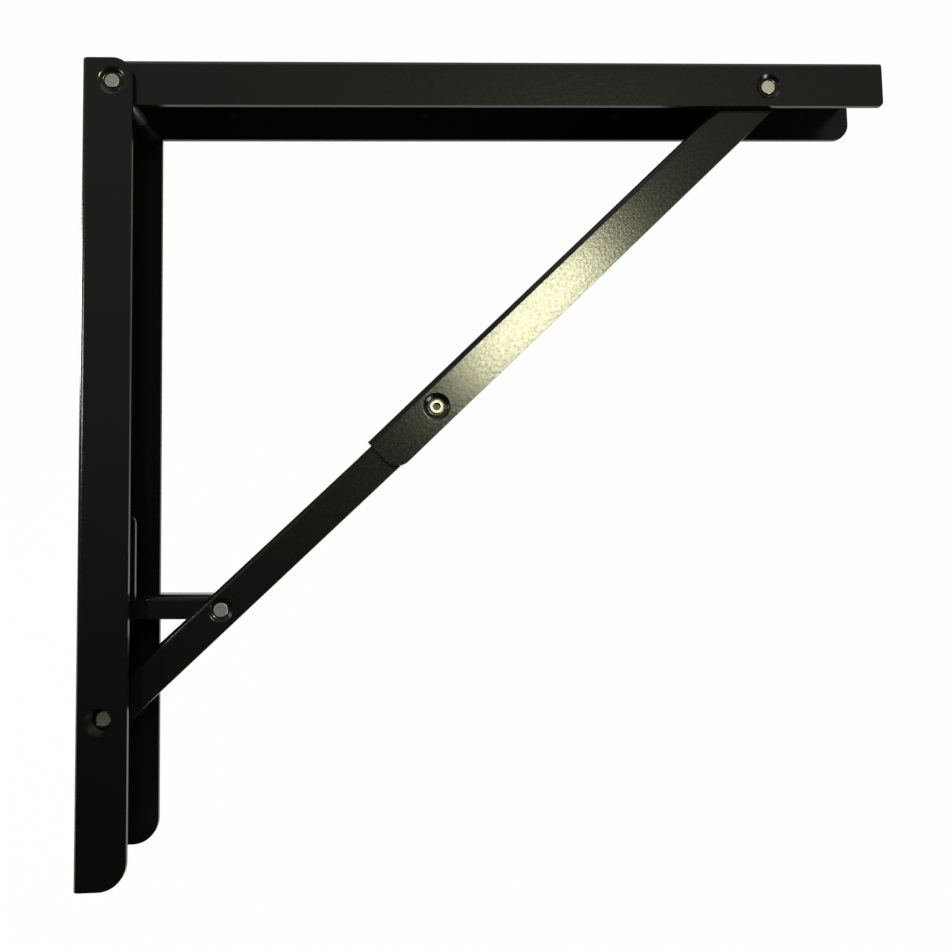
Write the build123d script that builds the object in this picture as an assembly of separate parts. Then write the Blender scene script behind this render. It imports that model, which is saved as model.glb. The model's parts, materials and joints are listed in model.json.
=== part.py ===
from build123d import *
import os
from math import atan, atan2, degrees, hypot, sqrt, tan

# Folding shelf bracket, full size, in millimetres.
# X runs out from the wall, Z up, and Y across the bracket, whose middle plane is Y = 0.
# The origin lies on the wall, level with the corner pivot.
# Five pressed channels nest in one another, widest first: wall rail, shelf rail, upper brace,
# lower brace, release link, and the guide shoe of the link. Each has its own width, so that
# their flanges pass side by side when the bracket folds.

# ---- sheet metal ----------------------------------------------------------------------------
SHEET = 2.0            # thickness of every pressed piece
BEND = 3.2             # outer radius of every bend
WALL_WIDTH = 46.0      # outer width of the wall rail
NEST_PLAY = 1.5        # room at each side between one channel and the next
LINK_PLAY = 1.0        # the same between the lower brace and the release link
SHOE_PLAY = 0.5        # the same between the release link and its guide shoe
FLOOR_GAP = 0.1        # running gap between a dimple's floor and the flange inside it


def width_inside(width, play):
    """Outer width of a channel that runs inside another one of the given width."""
    return width - 2 * (SHEET + play)


SHELF_WIDTH = width_inside(WALL_WIDTH, NEST_PLAY)
UPPER_WIDTH = width_inside(SHELF_WIDTH, NEST_PLAY)
LOWER_WIDTH = width_inside(UPPER_WIDTH, NEST_PLAY)
LINK_WIDTH = width_inside(LOWER_WIDTH, LINK_PLAY)
SHOE_WIDTH = width_inside(LINK_WIDTH, SHOE_PLAY)

# ---- rails ----------------------------------------------------------------------------------
WALL_TOP = 11.6        # top end of the wall rail, above the corner pivot
WALL_LENGTH = 403.5
WALL_FAR_SHORT = 5.5   # how far the far flange stops short of the rail's lower end
WALL_DEPTH = 25.0
WALL_TOP_ROUND = 10.0
WALL_FOOT_ROUND = 13.0
SHELF_TOP = 13.0       # the surface that carries the shelf, above the corner pivot
SHELF_DEPTH = 24.0
SHELF_GAP = 0.6        # between the wall rail's web and the end of the shelf rail
SHELF_LENGTH = 406.0
SHELF_HEEL_ROUND = 11.0
SHELF_TIP_ROUND = 2.5  # lower corner of the near flange
SHELF_FAR_ROUND = 9.0  # lower corner of the far flange

# ---- pivots, as (X, Z) ----------------------------------------------------------------------
CORNER = (14.8, 0.0)
TIP_INSET = 60.3       # from the tip pivot to the end of the shelf rail
FOOT_INSET = 77.9      # from the foot pivot to the lower end of the wall rail
TIP_PIVOT = (SHEET + SHELF_GAP + SHELF_LENGTH - TIP_INSET, -0.5)
FOOT = (11.0, WALL_TOP - WALL_LENGTH + FOOT_INSET)
LOWER_REACH = 220.65   # from the foot pivot to the knee
OVER_CENTRE = 1.4      # how far the open knee stands past the straight line
LINK_REACH = 74.4      # from the foot pivot to the link pivot, along the lower brace
LINK_LENGTH = 49.2     # between the two pivots of the release link
LINK_RISE = 1.2        # how far the shoe pivot stands above the link pivot

# ---- braces, offsets from the line through their pivots ---------------------------------------
UPPER_WEB = 11.3
UPPER_FREE = 10.0      # free edge of the near flange
UPPER_FAR = 7.0        # free edge of the far flange
UPPER_TAIL = 37.2      # the upper brace's length beyond the knee, where its web stops on the lower one
UPPER_TAIL_ROUND = 8.0
LOWER_WEB = 8.8
LOWER_FREE = 9.0
LOWER_FAR = 6.2
LOWER_ROUND = 8.8      # radius of its ends
WINDOW_BEFORE = 22.0   # window in the lower brace's web, from the link pivot towards the foot
WINDOW_AFTER = 101.0   # and towards the knee, for the link and its shoe when folded
LINK_TOP = 7.2
LINK_BOTTOM = 4.8
LINK_BUTT = 6.0        # the release link's length beyond its pivot in the lower brace
LINK_WEB_LENGTH = 38.0
LINK_TIP_ROUND = 4.8
SHOE_BACK = 4.9        # guide shoe, from its pivot to its back
SHOE_FRONT = 5.6
SHOE_DROP = 7.0
SHOE_RISE = 47.0
SHOE_ROUND = 5.0

# ---- dimples and rivets -----------------------------------------------------------------------
RAIL_DIMPLE = (6.6, 4.9)   # radius of a dimple at its rim and at its floor
FOOT_DIMPLE = (6.5, 4.4)
KNEE_DIMPLE = (6.3, 4.7)
LINK_DIMPLE = (6.0, 4.4)
RIVET = 3.0            # shank radius
RUNNING = 0.05         # radial clearance of a rivet in its holes
HEAD = 3.5
HEAD_HEIGHT = 0.8
KNEE_BORE = 1.8        # recess in the rolled ends of the knee rivet
KNEE_BORE_DEPTH = 2.0

# ---- screw holes ------------------------------------------------------------------------------
SCREW_HOLE = 2.75
WALL_SCREWS = (-30.0, -110.0, -190.0, -370.0)     # Z of the holes in the wall rail's web
SHELF_SCREWS = (60.0, 170.0, 280.0, 390.0)        # X of the holes in the shelf rail's web


def point_between(start, end, along, aside=0.0):
    """Point at a distance from start towards end, moved clockwise off the line by aside."""
    length = hypot(end[0] - start[0], end[1] - start[1])
    ux, uz = (end[0] - start[0]) / length, (end[1] - start[1]) / length
    return (start[0] + along * ux + aside * uz, start[1] + along * uz - aside * ux)


KNEE = point_between(FOOT, TIP_PIVOT, sqrt(LOWER_REACH**2 - OVER_CENTRE**2), OVER_CENTRE)
UPPER_REACH = hypot(TIP_PIVOT[0] - KNEE[0], TIP_PIVOT[1] - KNEE[1])
LINK_PIVOT = point_between(FOOT, KNEE, LINK_REACH)
SHOE_PIVOT = (LINK_PIVOT[0] - sqrt(LINK_LENGTH**2 - LINK_RISE**2), LINK_PIVOT[1] + LINK_RISE)


def lay(start, end):
    """Place for a piece drawn with its length along +X from the origin: from start to end."""
    rise = degrees(atan2(end[1] - start[1], end[0] - start[0]))
    return Pos(start[0], 0, start[1]) * Rot(0, -rise, 0)


def bar(start, end, width, web, free, bend):
    """Solid bar along X with the two edges of its web side, at Z = web, rounded by bend."""
    section = Rectangle(width, abs(web - free))
    section = fillet(section.vertices().group_by(Axis.Y)[-1], bend)
    if web < free:
        section = Rot(0, 0, 180) * section
    return Pos(start, 0, 0) * extrude(Plane.YZ * Pos(0, (web + free) / 2) * section, end - start)


def channel(start, end, width, web, free):
    """Bent channel along X, with its web's outer face at Z = web and its free edges at Z = free."""
    inward = SHEET if web < free else -SHEET
    hollow = bar(start, end, width - 2 * SHEET, web + inward, free + inward, BEND - SHEET)
    return bar(start, end, width, web, free, BEND) - hollow


def outline(x0, x1, z0, z1, rounds):
    """Side view of a plate; rounds gives the radius at (x0, z0), (x1, z0), (x1, z1), (x0, z1)."""
    face = Pos((x0 + x1) / 2, (z0 + z1) / 2) * Rectangle(x1 - x0, z1 - z0)
    for (x, z), radius in zip(((x0, z0), (x1, z0), (x1, z1), (x0, z1)), rounds):
        if radius:
            corner = min(face.vertices(), key=lambda v: hypot(v.X - x, v.Y - z))
            face = fillet(corner, radius)
    return face


def through(face, width):
    """Prism across the whole bracket with the given side view."""
    return extrude(Plane.XZ * face, width, both=True)


def two_sided(near, far, width):
    """Prism whose near half has the one side view and whose far half the other."""
    return extrude(Plane.XZ * near, width) + extrude(Plane.XZ * far, -width)


def turned_piece(points):
    """Solid of revolution about Y from (radius, Y) points."""
    return revolve(make_face(Polyline(*points, close=True)), Axis.Y)


def press_dimples(piece, at, width, depth, radii, envelope=None):
    """Press a dimple with a rivet hole into both flanges, about the point at = (X, Z)."""
    rim, floor = radii
    face = width / 2
    lean = SHEET * tan(atan(depth / (rim - floor)) / 2)
    bore = RIVET + RUNNING
    dish = turned_piece([(rim + lean, face), (rim, face), (floor, face - depth), (bore, face - depth),
                         (bore, face - depth - SHEET), (floor + lean, face - depth - SHEET),
                         (rim + lean, face - SHEET)])
    blank = turned_piece([(0, face), (rim + lean, face), (rim + lean, face - SHEET), (0, face - SHEET)])
    spot = Pos(at[0], 0, at[1])
    for side in (0, 180):
        pressed = spot * Rot(side, 0, 0) * dish
        if envelope is not None:
            pressed = pressed & envelope
        piece = piece - spot * Rot(side, 0, 0) * blank + pressed
    return piece


def rivet_hole(at, width):
    """Cutter for a plain rivet hole through both flanges."""
    return Pos(at[0], 0, at[1]) * Rot(90, 0, 0) * Cylinder(RIVET + RUNNING, width)


def rivet(floor, bore=0.0):
    """Rivet across Y with heads that sit at Y = floor on both sides; bore hollows its ends."""
    top = floor + HEAD_HEIGHT
    half = [(RIVET, floor), (HEAD, floor), (HEAD, top)]
    if bore:
        half += [(bore, top), (bore, top - KNEE_BORE_DEPTH), (0, top - KNEE_BORE_DEPTH)]
    else:
        half += [(0, top)]
    return turned_piece([(r, -y) for r, y in reversed(half)] + half)


def dimple_floor(width, play):
    """Y of the outer side of a dimple's floor, in a channel with the given play inside it."""
    return width / 2 - play + FLOOR_GAP


def wall_rail():
    """Wall rail, drawn from its top end downwards, with Z out from the wall."""
    body = channel(0, WALL_LENGTH, WALL_WIDTH, 0, WALL_DEPTH)
    rounds = (0, 0, WALL_FOOT_ROUND, WALL_TOP_ROUND)
    near = outline(0, WALL_LENGTH, 0, WALL_DEPTH, rounds)
    far = outline(0, WALL_LENGTH - WALL_FAR_SHORT, 0, WALL_DEPTH, rounds)
    far = far + outline(0, WALL_LENGTH, 0, BEND, (0, 0, 0, 0))
    body = body & two_sided(near, far, WALL_WIDTH)
    corner = (WALL_TOP - CORNER[1], CORNER[0])
    foot = (WALL_TOP - FOOT[1], FOOT[0])
    body = press_dimples(body, corner, WALL_WIDTH, NEST_PLAY - FLOOR_GAP, RAIL_DIMPLE)
    foot_depth = (WALL_WIDTH - LOWER_WIDTH) / 2 - SHEET - FLOOR_GAP
    body = press_dimples(body, foot, WALL_WIDTH, foot_depth, FOOT_DIMPLE)
    for z in WALL_SCREWS:
        body = body - Pos(WALL_TOP - z, 0, SHEET / 2) * Cylinder(SCREW_HOLE, 2 * SHEET)
    return lay((0, WALL_TOP), (0, WALL_TOP - WALL_LENGTH)) * body


def shelf_rail():
    """Shelf rail, with its web on top and the tip pivot's dimples in its flanges."""
    start = SHEET + SHELF_GAP
    end = start + SHELF_LENGTH
    low = SHELF_TOP - SHELF_DEPTH
    body = channel(start, end, SHELF_WIDTH, SHELF_TOP, low)
    near, far = [outline(start, end, low, SHELF_TOP, (SHELF_HEEL_ROUND, tip_round, 0, 0))
                 for tip_round in (SHELF_TIP_ROUND, SHELF_FAR_ROUND)]
    body = body & two_sided(near, far, SHELF_WIDTH)
    body = press_dimples(body, TIP_PIVOT, SHELF_WIDTH, NEST_PLAY - FLOOR_GAP, RAIL_DIMPLE)
    body = body - rivet_hole(CORNER, SHELF_WIDTH)
    for x in SHELF_SCREWS:
        body = body - Pos(x, 0, SHELF_TOP - SHEET / 2) * Cylinder(SCREW_HOLE, 2 * SHEET)
    return body


def upper_brace():
    """Upper brace, drawn from the knee towards the tip pivot, with its web above the line."""
    end = UPPER_REACH + UPPER_WEB
    body = channel(-UPPER_TAIL, end, UPPER_WIDTH, UPPER_WEB, -UPPER_FREE)
    rounds = (UPPER_TAIL_ROUND, 0, 0, 0)
    near = outline(-UPPER_TAIL, UPPER_REACH, -UPPER_FREE, UPPER_WEB, rounds)
    near = near + Pos(UPPER_REACH, 0) * Circle(UPPER_FREE)
    far = near & outline(-UPPER_TAIL, end, -UPPER_FAR, UPPER_WEB, (UPPER_TAIL_ROUND, 0, 0, 0))
    body = body & two_sided(near, far, UPPER_WIDTH)
    body = press_dimples(body, (0, 0), UPPER_WIDTH, NEST_PLAY - FLOOR_GAP, KNEE_DIMPLE)
    body = body - rivet_hole((UPPER_REACH, 0), UPPER_WIDTH)
    return lay(KNEE, TIP_PIVOT) * body


def lower_brace():
    """Lower brace, drawn from the foot to the knee, with its web above the line."""
    ends = (-LOWER_ROUND, LOWER_REACH + LOWER_ROUND)
    body = channel(*ends, LOWER_WIDTH, LOWER_WEB, -LOWER_FREE)
    near = outline(0, LOWER_REACH, -LOWER_FREE, LOWER_WEB, (0, 0, 0, 0))
    near = near + Circle(LOWER_ROUND) + Pos(LOWER_REACH, 0) * Circle(LOWER_ROUND)
    far = near & outline(*ends, -LOWER_FAR, LOWER_WEB, (0, 0, 0, 0))
    sides = two_sided(near, far, LOWER_WIDTH)
    body = body & sides
    window = (LINK_REACH - WINDOW_BEFORE, LINK_REACH + WINDOW_AFTER)
    for start, end in ((ends[0], 0), window, (LOWER_REACH, ends[1])):
        gap = outline(start, end, 0, 2 * LOWER_WEB, (0, 0, 0, 0))
        body = body - through(gap, LOWER_WIDTH / 2 - SHEET)
    envelope = bar(*ends, LOWER_WIDTH, LOWER_WEB, -LOWER_FREE, BEND) & sides
    depth = LINK_PLAY - FLOOR_GAP
    body = press_dimples(body, (LINK_REACH, 0), LOWER_WIDTH, depth, LINK_DIMPLE, envelope)
    body = body - rivet_hole((0, 0), LOWER_WIDTH) - rivet_hole((LOWER_REACH, 0), LOWER_WIDTH)
    return lay(FOOT, KNEE) * body


def release_link():
    """Release link, drawn from the lower brace to the guide shoe, with its web on top."""
    body = channel(-LINK_BUTT, LINK_LENGTH + LINK_TIP_ROUND, LINK_WIDTH, -LINK_TOP, LINK_BOTTOM)
    side = outline(-LINK_BUTT, LINK_WEB_LENGTH, -LINK_TOP, LINK_BOTTOM, (0, 0, 0, LINK_TIP_ROUND))
    side = side + outline(0, LINK_LENGTH, -LINK_TIP_ROUND, LINK_TIP_ROUND, (0, 0, 0, 0))
    side = side + Pos(LINK_LENGTH, 0) * Circle(LINK_TIP_ROUND)
    body = body & through(side, LINK_WIDTH)
    mouth = outline(LINK_WEB_LENGTH, 2 * LINK_LENGTH, -2 * LINK_TOP, 2 * LINK_TOP, (0, 0, 0, 0))
    body = body - through(mouth, LINK_WIDTH / 2 - SHEET)
    body = body - rivet_hole((0, 0), LINK_WIDTH) - rivet_hole((LINK_LENGTH, 0), LINK_WIDTH)
    return lay(LINK_PIVOT, SHOE_PIVOT) * body


def guide_shoe():
    """Guide shoe, an angle drawn upwards from its pivot: a back towards the wall and one flange."""
    body = channel(-SHOE_DROP, SHOE_RISE, SHOE_WIDTH, SHOE_BACK, -SHOE_FRONT)
    rounds = (SHOE_ROUND, SHOE_ROUND, 0, 0)
    side = outline(-SHOE_DROP, SHOE_RISE, -SHOE_FRONT, SHOE_BACK, rounds)
    far = side & outline(-SHOE_DROP, SHOE_RISE, SHOE_BACK - SHEET, SHOE_BACK, (0, 0, 0, 0))
    body = body & two_sided(side, far, SHOE_WIDTH)
    body = body - rivet_hole((0, 0), SHOE_WIDTH)
    return lay(SHOE_PIVOT, (SHOE_PIVOT[0], SHOE_PIVOT[1] + SHOE_RISE)) * body


def at_pivot(pivot, piece):
    """Move a rivet drawn about Y to its pivot."""
    return Pos(pivot[0], 0, pivot[1]) * piece


def corner_rivet_ends():
    """Outer ends of the corner rivet, with its heads, in the wall rail's dimples."""
    floor = dimple_floor(WALL_WIDTH, NEST_PLAY)
    inner = SHELF_WIDTH / 2 + FLOOR_GAP
    top = floor + HEAD_HEIGHT
    end = turned_piece([(0, inner), (RIVET, inner), (RIVET, floor), (HEAD, floor),
                        (HEAD, top), (0, top)])
    return Compound(children=[at_pivot(CORNER, end), at_pivot(CORNER, Rot(180, 0, 0) * end)])


def corner_rivet():
    """Shank of the corner rivet, between the outer faces of the shelf rail."""
    return at_pivot(CORNER, Rot(90, 0, 0) * Cylinder(RIVET, SHELF_WIDTH))


PIECES = {
    "wall_rail": wall_rail(),
    "shelf_rail": shelf_rail(),
    "upper_brace": upper_brace(),
    "lower_brace": lower_brace(),
    "release_link": release_link(),
    "guide_shoe": guide_shoe(),
    "corner_rivet": corner_rivet(),
    "corner_rivet_ends": corner_rivet_ends(),
    "tip_rivet": at_pivot(TIP_PIVOT, rivet(dimple_floor(SHELF_WIDTH, NEST_PLAY))),
    "knee_rivet": at_pivot(KNEE, rivet(dimple_floor(UPPER_WIDTH, NEST_PLAY), KNEE_BORE)),
    "foot_rivet": at_pivot(FOOT, rivet(LOWER_WIDTH / 2 + FLOOR_GAP + SHEET)),
    "link_rivet": at_pivot(LINK_PIVOT, rivet(dimple_floor(LOWER_WIDTH, LINK_PLAY))),
    "shoe_rivet": at_pivot(SHOE_PIVOT, rivet(LINK_WIDTH / 2)),
}

os.makedirs("parts", exist_ok=True)
for name, piece in PIECES.items():
    export_step(piece, f"parts/{name}.step")
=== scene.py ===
# %% [markdown]
# # A folding shelf bracket in black powder coat
#
# The bracket is six pressed steel channels held together by six rivets. The construction comes
# from the frame: every piece is already at its place and size, and knows which body it moves
# with. Here the pieces get what a press and a coating line give them: soft edges, rolled dimple
# rims, a satin black coat with a fine orange peel, and bare zinc on the rivet ends.

# %% Load the frame
import json
from math import hypot, radians

import bmesh
import bpy
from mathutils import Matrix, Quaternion, Vector


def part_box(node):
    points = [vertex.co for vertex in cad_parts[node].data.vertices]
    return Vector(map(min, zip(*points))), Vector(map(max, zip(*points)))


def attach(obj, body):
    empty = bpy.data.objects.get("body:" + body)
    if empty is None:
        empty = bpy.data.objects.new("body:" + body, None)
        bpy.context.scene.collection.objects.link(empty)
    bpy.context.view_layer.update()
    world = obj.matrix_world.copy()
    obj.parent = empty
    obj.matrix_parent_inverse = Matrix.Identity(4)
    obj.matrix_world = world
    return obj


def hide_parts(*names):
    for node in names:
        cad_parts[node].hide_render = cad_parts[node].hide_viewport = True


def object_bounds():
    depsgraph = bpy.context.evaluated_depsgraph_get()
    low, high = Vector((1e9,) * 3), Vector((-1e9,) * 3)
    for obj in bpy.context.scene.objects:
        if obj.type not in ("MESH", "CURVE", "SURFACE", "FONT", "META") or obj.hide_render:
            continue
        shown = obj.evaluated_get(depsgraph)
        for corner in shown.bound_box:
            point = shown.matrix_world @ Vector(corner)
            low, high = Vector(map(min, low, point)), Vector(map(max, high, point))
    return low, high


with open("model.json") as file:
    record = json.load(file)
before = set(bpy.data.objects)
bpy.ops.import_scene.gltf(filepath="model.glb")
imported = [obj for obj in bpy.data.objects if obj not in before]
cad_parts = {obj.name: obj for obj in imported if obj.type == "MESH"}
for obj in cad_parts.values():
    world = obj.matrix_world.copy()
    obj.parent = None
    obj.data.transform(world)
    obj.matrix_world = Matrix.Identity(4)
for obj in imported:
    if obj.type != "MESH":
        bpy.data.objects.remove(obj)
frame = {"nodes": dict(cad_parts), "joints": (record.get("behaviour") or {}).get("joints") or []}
cad_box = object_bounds()
MM = 0.001
print("pieces in the frame:", sorted(frame["nodes"]))

# %% [markdown]
# ## Where the pivots are
#
# Each joint in the frame gives its own pivot. The corner pivot has no joint of its own, because
# it is the open pivot of the linkage, so its place is read from the rivet that stands in it.

# %% Read the pivots
pivots = {joint["name"]: Vector(joint["pos_m"]) for joint in frame["joints"]}
low, high = (Vector(corner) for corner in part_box("corner_rivet"))
pivots["corner"] = (low + high) / 2
for name, place in pivots.items():
    print("pivot", name, [round(value / MM, 1) for value in place])

# %% [markdown]
# ## Black powder coat
#
# Powder coat is a thick plastic skin. It is smooth from a step away, but it cures with a slight
# waviness about a millimetre across, called orange peel, which breaks up every reflection. Two
# layers of noise drive the bump: a broad one for the peel and a fine one for the grain of the
# powder. The colour barely varies. All the life of a black coat is in its gloss.

# %% Node helpers
def start_material(name):
    """New material with an empty node tree and a Principled shader wired to its output."""
    material = bpy.data.materials.new(name)
    material.use_nodes = True
    tree = material.node_tree
    tree.nodes.clear()
    output = tree.nodes.new("ShaderNodeOutputMaterial")
    shader = tree.nodes.new("ShaderNodeBsdfPrincipled")
    tree.links.new(shader.outputs["BSDF"], output.inputs["Surface"])
    return material, tree, shader


def add_noise(tree, scale, detail):
    """Noise on object coordinates, with its scale in cells per metre."""
    place = tree.nodes.new("ShaderNodeTexCoord")
    noise = tree.nodes.new("ShaderNodeTexNoise")
    noise.inputs["Scale"].default_value = scale
    noise.inputs["Detail"].default_value = detail
    tree.links.new(place.outputs["Object"], noise.inputs["Vector"])
    return noise


def add_range(tree, value, span, levels):
    """Map a value from the span, a pair, to the levels, another pair."""
    change = tree.nodes.new("ShaderNodeMapRange")
    change.inputs["From Min"].default_value, change.inputs["From Max"].default_value = span
    change.inputs["To Min"].default_value, change.inputs["To Max"].default_value = levels
    tree.links.new(value, change.inputs["Value"])
    return change


def add_tone(tree, share, dark, light):
    """Mix of two linear colours, by the share of the light one."""
    tone = tree.nodes.new("ShaderNodeMix")
    tone.data_type = "RGBA"
    tone.inputs["A"].default_value = (*dark, 1.0)
    tone.inputs["B"].default_value = (*light, 1.0)
    tree.links.new(share, tone.inputs["Factor"])
    return tone


def add_bump(tree, source, depth, strength, below=None):
    """Bump from a noise; below is a bump that it lies on."""
    bump = tree.nodes.new("ShaderNodeBump")
    bump.inputs["Distance"].default_value = depth
    bump.inputs["Strength"].default_value = strength
    tree.links.new(source.outputs["Fac"], bump.inputs["Height"])
    if below is not None:
        tree.links.new(below.outputs["Normal"], bump.inputs["Normal"])
    return bump


# %% The coat itself
NOISE_SPAN = (0.3, 0.7)    # where nearly all of a noise's values lie
PEEL_CELLS = 620.0         # orange peel, about 1.6 mm across
PEEL_DEPTH = 0.05 * MM
GRAIN_CELLS = 2600.0       # powder grain
GRAIN_DEPTH = 0.02 * MM
CLOUD_CELLS = 14.0         # slow drift of the tone along a rail
COAT_DARK = (0.0032, 0.0035, 0.0029)
COAT_LIGHT = (0.0048, 0.0051, 0.0043)
COAT_ROUGHNESS = (0.17, 0.21)


def black_coat():
    material, tree, shader = start_material("black_powder_coat")
    clouds = add_noise(tree, CLOUD_CELLS, 2.0)
    tone = add_tone(tree, clouds.outputs["Fac"], COAT_DARK, COAT_LIGHT)
    tree.links.new(tone.outputs["Result"], shader.inputs["Base Color"])
    peel = add_noise(tree, PEEL_CELLS, 1.0)
    grain = add_noise(tree, GRAIN_CELLS, 2.0)
    gloss = add_range(tree, peel.outputs["Fac"], NOISE_SPAN, COAT_ROUGHNESS)
    tree.links.new(gloss.outputs["Result"], shader.inputs["Roughness"])
    waves = add_bump(tree, peel, PEEL_DEPTH, 0.55)
    surface = add_bump(tree, grain, GRAIN_DEPTH, 0.4, waves)
    tree.links.new(surface.outputs["Normal"], shader.inputs["Normal"])
    shader.inputs["IOR"].default_value = 1.5
    return material


coat = black_coat()
print("material", coat.name)

# %% [markdown]
# ## Bare zinc on the rivet ends
#
# The rivets are peened after the channels are coated, so their ends show plated steel. Peening
# leaves concentric scuffs, so the pattern follows the distance from the rivet's own axis, which a
# Mapping node brings to the pivot. The knee rivet has rolled ends with a hollow in each, and the
# shade in each hollow is painted into the zinc as a dark colour.

# %% Zinc
KNEE_HOLLOW = 1.9 * MM
RING_CELLS = 2400.0        # concentric scuffs
RING_DEPTH = 0.03 * MM
SCUFF_CELLS = 1100.0       # scattered dents and scuffs
SCUFF_DEPTH = 0.05 * MM
ZINC_DARK = (0.30, 0.305, 0.28)
ZINC_LIGHT = (0.66, 0.67, 0.63)
# painted shade: the dark colour of the knee rivet's hollow, standing in for its shade
ZINC_PAINTED_SHADE = (0.07, 0.072, 0.068)
ZINC_ROUGHNESS = (0.3, 0.5)


def rivet_reach(tree, axis):
    """Distance from the rivet's axis, which runs along Y through the point axis."""
    place = tree.nodes.new("ShaderNodeTexCoord")
    centred = tree.nodes.new("ShaderNodeMapping")
    centred.inputs["Location"].default_value = (-axis.x, 0.0, -axis.z)
    centred.inputs["Scale"].default_value = (1.0, 0.0, 1.0)
    reach = tree.nodes.new("ShaderNodeVectorMath")
    reach.operation = "LENGTH"
    tree.links.new(place.outputs["Object"], centred.inputs["Vector"])
    tree.links.new(centred.outputs["Vector"], reach.inputs[0])
    return reach


def bare_zinc(name, axis, hollow):
    """Scuffed zinc for the rivet on an axis, with painted shade: a dark colour within the radius
    hollow.
    """
    material, tree, shader = start_material(name)
    reach = rivet_reach(tree, axis)
    rings = tree.nodes.new("ShaderNodeTexNoise")
    rings.noise_dimensions = "1D"
    rings.inputs["Scale"].default_value = RING_CELLS
    rings.inputs["Detail"].default_value = 2.0
    tree.links.new(reach.outputs["Value"], rings.inputs["W"])
    scuffs = add_noise(tree, SCUFF_CELLS, 4.0)
    tone = add_tone(tree, scuffs.outputs["Fac"], ZINC_DARK, ZINC_LIGHT)
    # Painted shade: within the radius hollow the base colour turns dark, standing in for the shade
    # in the hollow.
    inside = tree.nodes.new("ShaderNodeMath")
    inside.operation = "LESS_THAN"
    inside.inputs[1].default_value = hollow
    tree.links.new(reach.outputs["Value"], inside.inputs[0])
    painted_shade = add_tone(tree, inside.outputs["Value"], ZINC_DARK, ZINC_PAINTED_SHADE)
    tree.links.new(tone.outputs["Result"], painted_shade.inputs["A"])
    tree.links.new(painted_shade.outputs["Result"], shader.inputs["Base Color"])
    shader.inputs["Metallic"].default_value = 1.0
    wear = add_range(tree, rings.outputs["Fac"], NOISE_SPAN, ZINC_ROUGHNESS)
    tree.links.new(wear.outputs["Result"], shader.inputs["Roughness"])
    grooves = add_bump(tree, rings, RING_DEPTH, 0.5)
    dents = add_bump(tree, scuffs, SCUFF_DEPTH, 0.6, grooves)
    tree.links.new(dents.outputs["Normal"], shader.inputs["Normal"])
    return material


hollows = {"knee": KNEE_HOLLOW}
zincs = {name: bare_zinc("zinc_" + name, axis, hollows.get(name, 0.0))
         for name, axis in pivots.items()}
print("zinc for", sorted(zincs))

# %% [markdown]
# ## Pressed channels with soft edges
#
# A frame piece has perfectly sharp edges, and a sharp edge never catches light. On the real
# channels the press rounds the rim of each dimple, and the coating rounds every cut edge, so
# that a thin pale line follows the sheet's outline. Each channel is copied, its loose triangles
# are welded, the flat faces are joined again, and then its edges are bevelled twice: ring by ring
# round the dimples, and with a Bevel modifier along the cut edges.

# %% Weld a copy of a frame piece
WELD = 0.002 * MM
FLAT_ANGLE = radians(0.5)


def select_only(piece):
    bpy.ops.object.select_all(action="DESELECT")
    piece.select_set(True)
    bpy.context.view_layer.objects.active = piece


def select_edges(piece, chosen):
    """In edit mode, select the edges for which chosen is true, and nothing else."""
    bpy.ops.mesh.select_mode(type="EDGE")
    bpy.ops.mesh.select_all(action="DESELECT")
    shape = bmesh.from_edit_mesh(piece.data)
    for edge in shape.edges:
        if chosen(edge):
            edge.select_set(True)
    bmesh.update_edit_mesh(piece.data)


def welded_copy(node, name):
    """Copy of a frame piece with its triangles welded and its flat faces joined."""
    piece = bpy.data.objects.new(name, frame["nodes"][node].data.copy())
    bpy.context.scene.collection.objects.link(piece)
    select_only(piece)
    bpy.ops.object.mode_set(mode="EDIT")
    bpy.ops.mesh.select_all(action="SELECT")
    bpy.ops.mesh.remove_doubles(threshold=WELD)
    bpy.ops.mesh.dissolve_limited(angle_limit=FLAT_ANGLE)
    bpy.ops.object.mode_set(mode="OBJECT")
    return piece


# %% Round the rims of the dimples
RIM_ANGLE = radians(20)
FLOOR_RINGS = (3.6 * MM, 5.8 * MM, 0.5 * MM)   # from, to, and rounding: the foot of a slope
RIM_RINGS = (5.8 * MM, 8.4 * MM, 1.5 * MM)     # the same for its rim, which the press draws softer
RING_SLACK = 20 * WELD                         # how far an edge of a ring may be out of round
RING_SEGMENTS = 5


def bevel_rings(piece, axis, side, nearest, farthest, width):
    """Bevel the sharp rings round an axis in one flange; side is the sign of the flange's Y."""
    def sharp_ring(edge):
        start, end = (vert.co for vert in edge.verts)
        reach = [hypot(place.x - axis.x, place.z - axis.z) for place in (start, end)]
        ring = abs(reach[0] - reach[1]) < RING_SLACK and abs(start.y - end.y) < WELD
        inside = nearest < min(reach) and max(reach) < farthest and start.y * side > 0
        return ring and inside and edge.calc_face_angle(0.0) > RIM_ANGLE

    bpy.ops.object.mode_set(mode="EDIT")
    select_edges(piece, sharp_ring)
    bpy.ops.mesh.bevel(offset=width, segments=RING_SEGMENTS, clamp_overlap=True)
    bpy.ops.object.mode_set(mode="OBJECT")


def round_dimples(piece, pivot_names):
    for name in pivot_names:
        for side in (-1, 1):
            for nearest, farthest, width in (FLOOR_RINGS, RIM_RINGS):
                bevel_rings(piece, pivots[name], side, nearest, farthest, width)


# %% Round the cut edges
EDGE_ROUND = 0.6 * MM
EDGE_SEGMENTS = 3
CUT_ANGLE = radians(42)
SMOOTH_ANGLE = radians(32)


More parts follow.
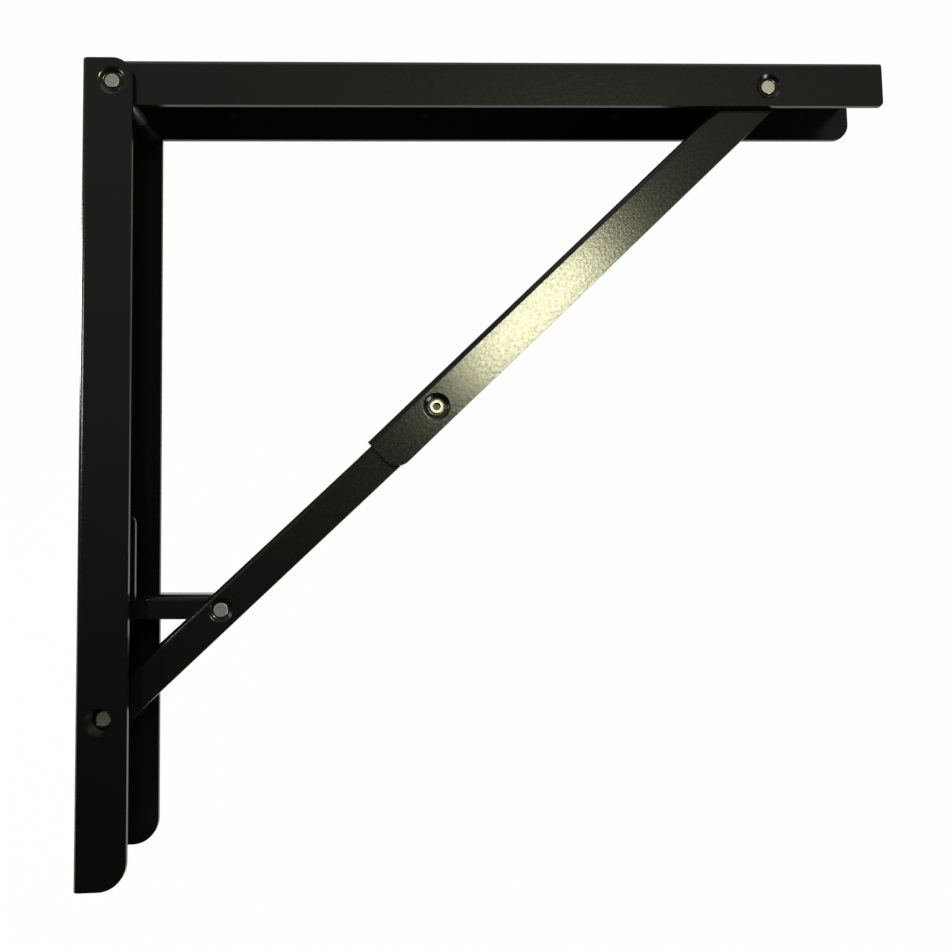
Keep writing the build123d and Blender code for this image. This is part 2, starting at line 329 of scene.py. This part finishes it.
def round_cut_edges(piece, width):
    """Bevel the sharp edges, shade the bends smooth, and keep the flat faces flat."""
    select_only(piece)
    bevel = piece.modifiers.new("cut edges", "BEVEL")
    bevel.width = width
    bevel.segments = EDGE_SEGMENTS
    bevel.limit_method = "ANGLE"
    bevel.angle_limit = CUT_ANGLE
    bevel.use_clamp_overlap = True
    bpy.ops.object.modifier_apply(modifier=bevel.name)
    bpy.ops.object.shade_smooth_by_angle(angle=SMOOTH_ANGLE)
    flats = piece.modifiers.new("flat faces", "WEIGHTED_NORMAL")
    flats.keep_sharp = True
    bpy.ops.object.modifier_apply(modifier=flats.name)


# %% Put a finished piece in its node's place
def take_place(piece, node, body, material):
    piece.data.materials.clear()
    piece.data.materials.append(material)
    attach(piece, body)
    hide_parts(node)
    print(piece.name, "faces", len(piece.data.polygons))


# %% Dress the six channels
CHANNELS = {
    "wall_rail": ("frame", ("corner", "fold")),
    "shelf_rail": ("shelf", ("tip_pivot",)),
    "upper_brace": ("upper_brace", ("knee",)),
    "lower_brace": ("lower_brace", ("link_pivot",)),
    "release_link": ("release_link", ()),
    "guide_shoe": ("guide_shoe", ()),
}

for node, (body, dimples) in CHANNELS.items():
    channel = welded_copy(node, "coated_" + node)
    round_dimples(channel, dimples)
    round_cut_edges(channel, EDGE_ROUND)
    take_place(channel, node, body, coat)

# %% [markdown]
# ## Rivets
#
# A rivet's ends are peened: hammered over until the head closes on the sheet, which rolls its
# outer edge. The shank of the corner rivet is hidden and stays as it comes from the frame.

# %% Peened heads on the rivets
PEENED = 0.6 * MM
RIVETS = {
    "corner_rivet_ends": ("frame", "corner"),
    "tip_rivet": ("shelf", "tip_pivot"),
    "knee_rivet": ("upper_brace", "knee"),
    "foot_rivet": ("frame", "fold"),
    "link_rivet": ("lower_brace", "link_pivot"),
    "shoe_rivet": ("release_link", "shoe_pivot"),
}

for node, (body, pivot) in RIVETS.items():
    rivet = welded_copy(node, "peened_" + node)
    round_cut_edges(rivet, PEENED)
    take_place(rivet, node, body, zincs[pivot])
for slot in frame["nodes"]["corner_rivet"].material_slots:
    slot.material = zincs["corner"]

# %% [markdown]
# ## A white sweep to stand in
#
# A sweep is a floor that curves up into a backdrop, so that no line shows behind the object. It
# shines white to the camera. In reflections only its floor does: the backdrop is dim there, so
# that the bends along the upper sides stay black. The floor stops short of the viewer, so that
# the near faces mirror the dim room.

# %% Build the sweep
SWEEP_SIZE = 6.0
SWEEP_DROP = 0.05          # between the bracket's lower end and the floor
SWEEP_BACK = 1.6           # from the bracket to the backdrop
SWEEP_FRONT = 0.03         # from the bracket to the front edge, short of the viewer
SWEEP_RISE = 4.0
SWEEP_ROUND = 0.9
SWEEP_SEGMENTS = 16

floor_height = cad_box[0][2] - SWEEP_DROP
middle = (cad_box[0][0] + cad_box[1][0]) / 2
floor_middle = (middle, (SWEEP_BACK - SWEEP_FRONT) / 2, floor_height)
bpy.ops.object.select_all(action="DESELECT")
bpy.ops.mesh.primitive_plane_add(size=1.0, location=floor_middle)
sweep = bpy.context.active_object
sweep.name = "sweep"
sweep.scale = (SWEEP_SIZE, SWEEP_BACK + SWEEP_FRONT, 1.0)
bpy.ops.object.transform_apply(location=False, rotation=False, scale=True)
bpy.ops.object.mode_set(mode="EDIT")
select_edges(sweep, lambda edge: all(vert.co.y > 0 for vert in edge.verts))
bpy.ops.mesh.extrude_region_move(TRANSFORM_OT_translate={"value": (0, 0, SWEEP_RISE)})
select_edges(sweep, lambda edge: len(edge.link_faces) == 2)
bpy.ops.mesh.bevel(offset=SWEEP_ROUND, segments=SWEEP_SEGMENTS)
bpy.ops.object.mode_set(mode="OBJECT")
bpy.ops.object.shade_smooth()
print("sweep floor at", round(floor_height, 3))

# %% White for the sweep
MIRRORED = (0.9, 0.03)     # how brightly the bracket mirrors the floor and the backdrop
MIRROR_FADE = (0.1, 0.5)   # heights above the floor between which it fades from one to the other
CAMERA_WHITE = 0.985       # the rest is lit by the lamps, so the floor keeps a faint shadow


def sweep_white():
    material, tree, shader = start_material("sweep_white")
    shader.inputs["Base Color"].default_value = (0.8, 0.8, 0.8, 1.0)
    shader.inputs["Roughness"].default_value = 1.0
    shader.inputs["Specular IOR Level"].default_value = 0.0
    glow = tree.nodes.new("ShaderNodeEmission")
    glow.inputs["Strength"].default_value = 1.0
    path = tree.nodes.new("ShaderNodeLightPath")
    place = tree.nodes.new("ShaderNodeTexCoord")
    split = tree.nodes.new("ShaderNodeSeparateXYZ")
    tree.links.new(place.outputs["Object"], split.inputs["Vector"])
    mirrored = add_range(tree, split.outputs["Z"], MIRROR_FADE, MIRRORED)
    level = tree.nodes.new("ShaderNodeMix")
    level.inputs["B"].default_value = CAMERA_WHITE
    tree.links.new(path.outputs["Is Camera Ray"], level.inputs["Factor"])
    tree.links.new(mirrored.outputs["Result"], level.inputs["A"])
    seen = tree.nodes.new("ShaderNodeMath")
    seen.operation = "MAXIMUM"
    tree.links.new(path.outputs["Is Camera Ray"], seen.inputs[0])
    tree.links.new(path.outputs["Is Glossy Ray"], seen.inputs[1])
    share = tree.nodes.new("ShaderNodeMath")
    share.operation = "MULTIPLY"
    tree.links.new(seen.outputs["Value"], share.inputs[0])
    tree.links.new(level.outputs["Result"], share.inputs[1])
    mix = tree.nodes.new("ShaderNodeMixShader")
    tree.links.new(share.outputs["Value"], mix.inputs["Fac"])
    tree.links.new(shader.outputs["BSDF"], mix.inputs[1])
    tree.links.new(glow.outputs["Emission"], mix.inputs[2])
    output = next(n for n in tree.nodes if n.type == "OUTPUT_MATERIAL")
    tree.links.new(mix.outputs["Shader"], output.inputs["Surface"])
    return material


sweep.data.materials.append(sweep_white())

# %% [markdown]
# ## Light
#
# A black object is lit by what it reflects. The room behind the viewer is dim and brightens
# upwards, which gives the flanges their slow fall from top to foot. One small warm softbox,
# above and right of the viewer, is placed so that only the slanting upper brace mirrors it. A low
# one on the right draws the pale lines along the cut edges, which face down and away from the
# wall. A weak one on the left draws the arcs in the dimples, and one beyond it, behind the
# bracket's back, draws a short bright line down the bend of the wall rail. A broad and weak one
# overhead keeps the top side readable.

# %% World
ROOM_FADE = (-0.4, 0.6)        # slope of the view between which the room brightens
ROOM_LEVELS = (0.005, 0.26)
ROOM_TINT = (1.0, 1.0, 0.9)


def room():
    world = bpy.data.worlds.new("room")
    bpy.context.scene.world = world
    world.use_nodes = True
    tree = world.node_tree
    tree.nodes.clear()
    output = tree.nodes.new("ShaderNodeOutputWorld")
    backdrop = tree.nodes.new("ShaderNodeBackground")
    around = tree.nodes.new("ShaderNodeBackground")
    mix = tree.nodes.new("ShaderNodeMixShader")
    path = tree.nodes.new("ShaderNodeLightPath")
    way = tree.nodes.new("ShaderNodeTexCoord")
    split = tree.nodes.new("ShaderNodeSeparateXYZ")
    level = add_range(tree, split.outputs["Z"], ROOM_FADE, ROOM_LEVELS)
    level.interpolation_type = "SMOOTHSTEP"
    backdrop.inputs["Strength"].default_value = 1.0
    backdrop.inputs["Color"].default_value = (1.0, 1.0, 1.0, 1.0)
    around.inputs["Color"].default_value = (*ROOM_TINT, 1.0)
    tree.links.new(way.outputs["Generated"], split.inputs["Vector"])
    tree.links.new(level.outputs["Result"], around.inputs["Strength"])
    tree.links.new(path.outputs["Is Camera Ray"], mix.inputs["Fac"])
    tree.links.new(around.outputs["Background"], mix.inputs[1])
    tree.links.new(backdrop.outputs["Background"], mix.inputs[2])
    tree.links.new(mix.outputs["Shader"], output.inputs["Surface"])


room()


# %% Softboxes
def softbox(name, place, target, size, power, color, roll=0.0):
    """Rectangular area light at place, turned towards target and rolled about its own axis."""
    bpy.ops.object.light_add(type="AREA", location=place)
    light = bpy.context.active_object
    light.name = name
    light.data.shape = "RECTANGLE"
    light.data.size, light.data.size_y = size
    light.data.energy = power
    light.data.color = color
    aim = (Vector(target) - Vector(place)).to_track_quat("-Z", "Y")
    light.rotation_euler = (aim @ Quaternion((0.0, 0.0, 1.0), radians(roll))).to_euler()


WARM = (1.0, 0.99, 0.66)
WHITE = (1.0, 1.0, 0.97)
BRACE_SLOPE = 43.3         # in degrees; the softbox lies along the brace, so the rails stay dark
brace_middle = (pivots["knee"] + pivots["tip_pivot"]) / 2
softbox("brace softbox", (0.40, -1.50, 0.28), brace_middle, (0.38, 0.08), 8.0, WARM, BRACE_SLOPE)
softbox("overhead softbox", (0.2, -0.6, 2.2), (0.2, 0.0, 0.0), (2.4, 2.0), 6.0, WHITE)
softbox("low right softbox", (1.3, -0.7, -1.1), (0.2, 0.0, -0.15), (0.7, 0.7), 14.0, WHITE)
softbox("left softbox", (-1.3, -1.00, 0.15), (0.0, 0.0, -0.1), (0.2, 0.35), 4.5, WHITE)
softbox("bend softbox", (-1.3, 0.45, 0.24), (0.0, 0.0, -0.1), (0.6, 0.30), 12.0, WHITE)

# %% [markdown]
# ## Camera
#
# The viewer stands close, a little below the shelf and level with the middle of the wall rail,
# and looks slightly up. Standing close is what spreads the near and the far flange apart.

# %% Camera
LENS = 30.95                   # in mm, on a sensor 36 mm wide
CAMERA_PLACE = (0.1750, -0.4224, -0.2267)
CAMERA_TURN = (93.78, 1.14, -2.36)

bpy.ops.object.camera_add(location=CAMERA_PLACE, rotation=[radians(turn) for turn in CAMERA_TURN])
camera = bpy.context.active_object
camera.data.lens = LENS
camera.data.sensor_width = 36.0
camera.data.clip_start = 0.01
bpy.context.scene.camera = camera
bpy.context.scene.view_settings.view_transform = "Standard"
